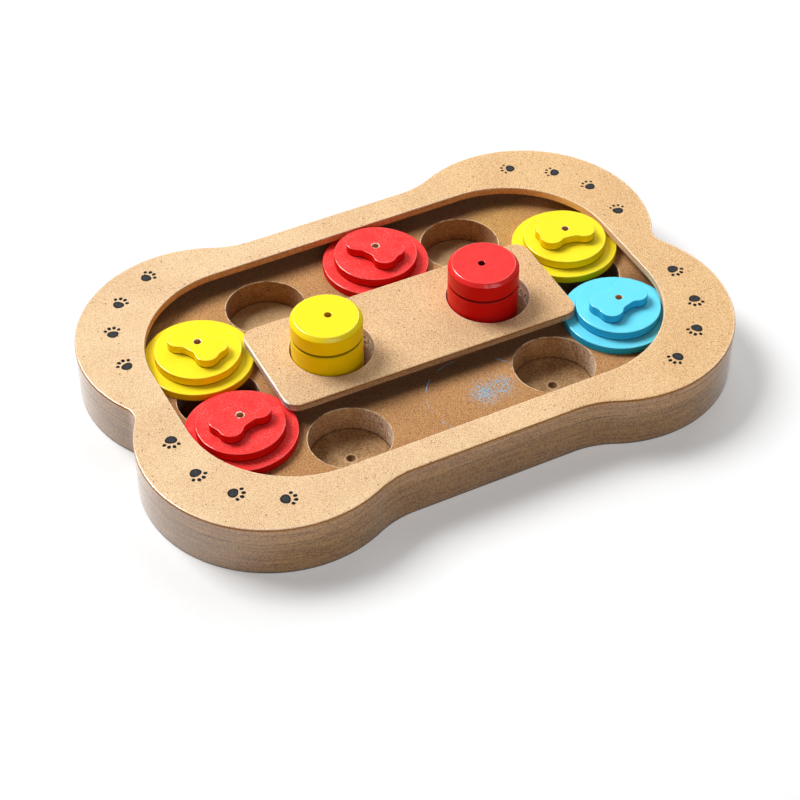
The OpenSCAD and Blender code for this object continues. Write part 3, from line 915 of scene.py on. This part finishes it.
glued = [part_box("red_far_" + part)[0].z for part in ("disc", "grip")]
paints = {
    "yellow": paint("yellow_paint", *yellow, raw_board, 0.06, 0.45 * mm, glued),
    "red": paint("red_paint", *red, raw_board, 0.22, 0.75 * mm, glued),
    "blue": paint("blue_paint", *blue, raw_board, 0.12, 0.15 * mm, glued),
}
groove_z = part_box("yellow_peg")[1].z - 11.2 * mm
peg_paints = {
    # The pegs' inside colours are darker copies of their paint, painted shade in the holes.
    "yellow": paint("yellow_peg_paint", *yellow, rgb(214, 164, 0), 0.03, 0, groove_z=groove_z),
    "red": paint("red_peg_paint", *red, rgb(130, 0, 0), 0.05, 0, groove_z=groove_z),
}
print("paints:", sorted(paints), "groove height in mm:", round(groove_z / mm, 1))

# %% [markdown]
# A slider is three painted pieces on one axis: a plate that runs under the frame's lip, a
# smaller disc that shows between frame and bridge, and a bone-shaped grip. Plate and disc
# could be spun with a Screw modifier; here they are rings with a circle outside and the scent
# hole inside, so one function serves all three.

# %% Sliders
scent_hole = 1.8 * mm
disc_round, grip_round = 0.55 * mm, 0.4 * mm
slider_turn = {"yellow_left": -62, "red_left": 18, "red_far": -64, "yellow_right": -8, "blue_right": 15}
grip_shape = dict(
    lobe_at=np.array([8.8, 3.5]) * mm, lobe=5.9 * mm, waist=7 * mm, hollow=5 * mm, notch=8 * mm)


def turned_by(outline, angle, centre):
    """Outline turned about the origin and moved to a centre, its directions turned with it."""
    turn = np.array([[math.cos(angle), math.sin(angle)], [-math.sin(angle), math.cos(angle)]])
    return outline[0] @ turn + centre, outline[1] @ turn


def hole_under(outline, centre, radius):
    """Circle of a hole with its points at the same angles as an outline's, directions outward."""
    way = outline[0] - centre
    way = way / np.linalg.norm(way, axis=1, keepdims=True)
    return centre + way * radius, way


def slider_piece(node, outline, centre, rounding, color):
    """Ring-shaped piece in the place of a solid, between that solid's own heights."""
    low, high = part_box(node)
    wall = edge_profile(high.z, low.z, rounding, 0.3 * mm)
    bore = edge_profile(high.z, low.z, 0.15 * mm, 0.1 * mm, steps=4, hold=0.1 * mm)
    grid = ring_solid(outline, wall, hole_under(outline, centre, scent_hole), bore)
    body = node.rsplit("_", 1)[0] + "_slider"
    return ring_piece(node + "_painted", *grid, finish=paints[color], body=body,
                      slot=color + "_paint", stands_for=node)


for slider, turn in slider_turn.items():
    color = slider.split("_")[0]
    for part in ("plate", "disc"):
        low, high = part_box(f"{slider}_{part}")
        centre = np.array((low + high) / 2)[:2]
        rim = circle(centre, (high.x - low.x) / 2, 160)
        slider_piece(f"{slider}_{part}", rim, centre, disc_round, color)
    grip = turned_by(bone(**grip_shape, count=36), math.radians(turn), centre)
    slider_piece(f"{slider}_grip", grip, centre, grip_round, color)
    print(slider, "centre in mm:", (centre / mm).round(1))

# %% [markdown]
# A peg is turned on a lathe: a bevelled top, a groove below it, a bevelled foot, and a blind
# hole that sits a little off the axis. A revolved profile gives the body, and because the
# hole's circle is looked up at the same angles, the top face joins the two circles even
# though they have different centres.

# %% Pegs
hole_shift = {"yellow": np.array([1.07, 0.24]) * mm, "red": np.array([-1.08, 0.18]) * mm}
hole_deep, hole_steps = 14 * mm, 5


def peg_profile(top, bottom):
    """Rows (inset, height) of a peg: bevel with soft ends, wall, groove, wall and foot bevel.

    Each end of the bevel is an eighth of a circle that touches the face, the slope and the wall.
    The groove's upper lip is square but soft, and its lower flank slopes out to the wall.
    """
    bevel, shoulder, foot, soft = 2.0 * mm, 0.8 * mm, 1.0 * mm, 0.3 * mm
    tangent = 0.4142  # of half the bevel's 45 degrees
    half, deep = 1.05 * mm, 0.9 * mm
    edge_middle = 2.2 * mm
    a = np.linspace(0, math.pi / 4, 6)
    b = a[::-1]
    face = [(bevel + shoulder * tangent + 0.4 * mm, top)]
    upper = np.stack([bevel + shoulder * (tangent - np.sin(a)), top - shoulder * (1 - np.cos(a))], 1)
    lower = np.stack([shoulder * (1 - np.cos(b)), top - bevel - shoulder * (tangent - np.sin(b))], 1)
    wall = [(0, top - bevel - 1.2 * mm), (0, groove_z + half + 2 * soft)]
    lip = [(0, half + soft), (0.06 * mm, half + 0.4 * soft), (0.25 * mm, half),
           (deep, half - 0.1 * mm), (deep, 0.5 * half)]
    flank = [(deep, -0.1 * mm), (0.5 * mm, -0.55 * mm), (0.15 * mm, -0.9 * mm), (0.03 * mm, -half)]
    groove = np.array(lip + flank) + (0, groove_z)
    below = [(0, groove_z - half - 2 * soft), (0, bottom + foot + soft),
             (0, bottom + foot), (foot, bottom), (foot + soft, bottom)]
    return np.concatenate([face, upper, lower, wall, groove, below]), edge_middle


for color, shift in hole_shift.items():
    low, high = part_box(color + "_peg")
    centre = np.array((low + high) / 2)[:2]
    body = circle(centre, (high.x - low.x) / 2, 192)
    away = -body[1]
    hole = (centre + shift + away * scent_hole, away)
    through, middle = edge_profile(high.z, high.z - hole_deep, 0.25 * mm, steps=hole_steps, hold=0.2 * mm)
    blind = through[:hole_steps + 3]  # the top row, the curve and the two rows of the wall
    grid = ring_solid(body, peg_profile(high.z, low.z), hole, (blind, middle))
    ring_piece(color + "_peg_turned", *grid, blind=True, finish=peg_paints[color], body=color + "_peg",
               slot=color + "_paint", stands_for=color + "_peg")
    print(color, "peg centre in mm:", (centre / mm).round(1))

# %% [markdown]
# A trail of four paw prints is stamped on each corner of the frame. Painting them in the
# board's finish would need a mask for each of eighty blots, so the ink is a film instead: flat
# blots a few hundredths of a millimetre thick, all in one mesh. The prints of a trail lie on a
# circle round the lobe and their toes point the way the cat walks.

# %% Paw prints
# One row for each trail of four prints, from the far left lobe to the near right one
lobe_side = np.array([(-1, 1), (-1, -1), (1, 1), (1, -1)])
walking_sense = np.array([-1, 1, 1, -1])
print_size = np.array([1.02, 1.05, 1.0, 1.05])
toe_size = np.array([1.0, 0.98, 0.78, 0.95])
print_turn = np.radians([(12, 0, 11, 11), (0, 0, 8, 2), (0, 8, -4, -3), (4, 0, -14, 5)])
print_at = np.array([
    [(-102.4, 89.6), (-122.5, 76.5), (-133.0, 57.1), (-135.4, 32.3)],
    [(-135.9, -24.1), (-134.2, -49.1), (-124.0, -68.6), (-104.4, -82.9)],
    [(106.4, 84.5), (125.9, 70.5), (136.6, 51.2), (139.0, 26.8)],
    [(138.6, -26.7), (135.9, -51.1), (124.8, -70.3), (105.2, -83.6)]]) * mm
# The pad comes first, then its four toes
toe_angles = np.radians([0, -48, -15, 15, 48])
toe_reach = np.array([0, 4.35, 4.6, 4.6, 4.35]) * mm
blot_length = np.array([2.4, 1.0, 1.1, 1.1, 1.0]) * mm
blot_width = np.array([2.8, 0.85, 0.92, 0.92, 0.85]) * mm
is_pad = np.arange(5) == 0
ink_thick = 0.03 * mm


def ink_finish():
    """Worn black ink: greyer in the middle of a blot, darker at its rim, with pinholes."""
    f = Finish("paw_ink", Roughness=0.6, Specular_IOR_Level=0.1)
    rim = f.edges()[0]
    worn = f.noise(900, detail=3, rough=0.7)
    colour = f.mix(f.rise(worn, 0.3, 0.7), rgb(30, 32, 36), rgb(58, 60, 64))
    colour = f.mix(f.rise(rim, 1.0 * mm, 0.3 * mm), colour, rgb(12, 12, 14))
    f.feed(Base_Color=colour, Normal=f.bump(worn, 0.03 * mm, 0.4))
    return f.material


def toe_ways():
    """Direction of every print's toes: along the circle round its lobe, and its own turn added."""
    from_lobe = print_at - (lobe_at * lobe_side)[:, None]
    round_lobe = np.arctan2(from_lobe[..., 1], from_lobe[..., 0])
    return round_lobe + walking_sense[:, None] * math.pi / 2 + print_turn


def blots(columns=28):
    """All blots as rows by columns: flat top, its rounded rim, and the lower rim of an ellipse.

    A blot's rim is (length cos t, width sin t), drawn in a little on three sides so that it
    looks pressed. It is turned to the toe direction and moved to its place on the frame.
    """
    at, way = print_at.reshape(-1, 2), toe_ways().ravel()
    size, toes = (np.repeat(row, print_turn.shape[1]) for row in (print_size, toe_size))
    t = np.linspace(0, 2 * math.pi, columns + 1)[:-1]
    swell = 1 - np.where(is_pad, 0.045, 0.02)[:, None] * np.cos(3 * t)
    x = blot_length[:, None] * np.cos(t) * swell
    y = blot_width[:, None] * np.sin(t) * swell
    lead_cos, lead_sin = np.cos(toe_angles * 0.8)[:, None], np.sin(toe_angles * 0.8)[:, None]
    spread = np.stack([lead_cos * x - lead_sin * y, lead_sin * x + lead_cos * y], 2)
    middle = np.stack([toe_reach * np.cos(toe_angles), toe_reach * np.sin(toe_angles)], 1)
    rows = np.array([(0.6, 1.0), (0.94, 1.0), (1.0, 0.3), (1.0, -1.0)]) * (1, ink_thick)
    shrink = np.where(is_pad, 1.0, toes[:, None])[:, :, None, None, None]
    flat = middle[:, None, None] + shrink * rows[:, 0, None, None] * spread[:, None]
    flat = flat * size[:, None, None, None, None]
    way_cos, way_sin = np.cos(way)[:, None, None, None], np.sin(way)[:, None, None, None]
    x, y = flat[..., 0], flat[..., 1]
    world = np.stack([x * way_cos - y * way_sin, x * way_sin + y * way_cos], -1)
    world = world + at[:, None, None, None]
    height = np.broadcast_to(frame_high[2] + rows[:, 1, None, None], world.shape[:-1] + (1,))
    distance = (1 - rows[:, 0, None]) * np.minimum(blot_length, blot_width)[:, None, None]
    distance = np.broadcast_to(distance, world.shape[:-1])
    return np.concatenate([world, height], -1), np.stack([distance, distance], -1)


ink, ink_edges = blots()
blot_count, ink_rows, ink_columns = ink.shape[0] * ink.shape[1], ink.shape[2], ink.shape[3]
number = np.arange(blot_count * ink_rows * ink_columns).reshape(blot_count, ink_rows, ink_columns)
blot_faces = grid_faces(ink_rows, ink_columns, False).reshape(-1, 4)
sides = (blot_faces + number[:, :1, :1]).reshape(-1, 4).tolist()
caps = number[:, 0].tolist() + number[:, -1, ::-1].tolist()
mesh_piece("paw_prints", ink, sides + caps, ink_edges, ink_finish(), "board")
print("prints:", len(ink), "blots:", blot_count)

# %% [markdown]
# The board lies on a white sweep in a bright studio. A shadow catcher would do for a picture
# on white, but a plain sheet of paper also throws light back at the board. So the floor is
# paper that keeps the soft shadow, and a share of plain white is laid over it where it is seen.

# %% Floor
floor_half, floor_drop, floor_lift = 4.0, 0.2 * mm, 0.25


def seen(tree):
    """1 for rays that show a thing to the camera, straight, in a reflection or through glass."""
    path = tree.nodes.new("ShaderNodeLightPath")
    shown = path.outputs["Is Camera Ray"]
    for kind in ("Is Glossy Ray", "Is Transmission Ray"):
        both = tree.nodes.new("ShaderNodeMath")
        both.operation = "MAXIMUM"
        tree.links.new(shown, both.inputs[0])
        tree.links.new(path.outputs[kind], both.inputs[1])
        shown = both.outputs[0]
    return shown


def floor_finish(lift):
    """White paper with a faint tooth; where it is seen, a share of plain white is laid over it."""
    f = Finish("white_paper", Roughness=0.95, Specular_IOR_Level=0.0)
    tooth = f.noise(300, detail=3)
    f.feed(Base_Color=f.mix(tooth, rgb(246, 246, 246), rgb(250, 250, 250)))
    white = f.node("ShaderNodeEmission", {}, {"Color": (1, 1, 1, 1), "Strength": 1.0})
    paper = Wire(f, f.shader.outputs[0])
    both = f.node("ShaderNodeMixShader", {}, {0: Wire(f, seen(f.tree)) * lift, 1: paper, 2: white})
    f.tree.links.new(both.socket, f.tree.nodes["Material Output"].inputs["Surface"])
    return f.material


floor_mesh = bpy.data.meshes.new("floor")
corners = np.array([(-1, -1, 0), (1, -1, 0), (1, 1, 0), (-1, 1, 0)]) * floor_half
floor_mesh.from_pydata(corners.tolist(), [], [(0, 1, 2, 3)])
floor_mesh.materials.append(floor_finish(floor_lift))
floor = bpy.data.objects.new("floor", floor_mesh)
scene.collection.objects.link(floor)
floor.location.z = -floor_drop
print("floor in m:", 2 * floor_half)

# %% [markdown]
# A large lamp far behind on the left is the main light, which puts the shadows of the lip and
# the pegs towards the viewer. A wide one behind on the right softens those shadows, a long weak
# one in front keeps the near walls from going black, and a narrow one, like a slit of window,
# glints in the bevels of the pegs. The world is white where it is seen and nearly dark as a
# light, so that the lamps alone shape the shadows.

# %% Lamps and world
world_light, world_seen = 0.03, 1.0


def lamp(name, place, size, power):
    """Area lamp of a given width and height at a place, turned to the middle of the board."""
    light = bpy.data.lights.new(name, "AREA")
    light.shape = "RECTANGLE"
    light.size, light.size_y = size
    light.energy = power
    made = bpy.data.objects.new(name, light)
    scene.collection.objects.link(made)
    made.location = place
    made.rotation_mode = "QUATERNION"
    made.rotation_quaternion = (-Vector(place)).to_track_quat("-Z", "Y")
    return made


lamp("key_lamp", (-1.30, 2.35, 2.96), (1.9, 1.9), 182)
lamp("right_lamp", (1.86, 2.30, 2.70), (2.8, 2.8), 58)
lamp("front_lamp", (-0.35, -1.80, 0.84), (3.0, 0.6), 9)
lamp("window_lamp", (-0.14, -1.46, 1.18), (1.3, 0.1), 2)

world = bpy.data.worlds.new("studio")
scene.world = world
world.use_nodes = True
links, nodes = world.node_tree.links, world.node_tree.nodes
sky = nodes["Background"]
sky.inputs["Color"].default_value = (1, 1, 1, 1)
strength = nodes.new("ShaderNodeMapRange")
strength.inputs["To Min"].default_value = world_light
strength.inputs["To Max"].default_value = world_seen
links.new(seen(world.node_tree), strength.inputs["Value"])
links.new(strength.outputs["Result"], sky.inputs["Strength"])
scene.view_settings.view_transform = "Standard"
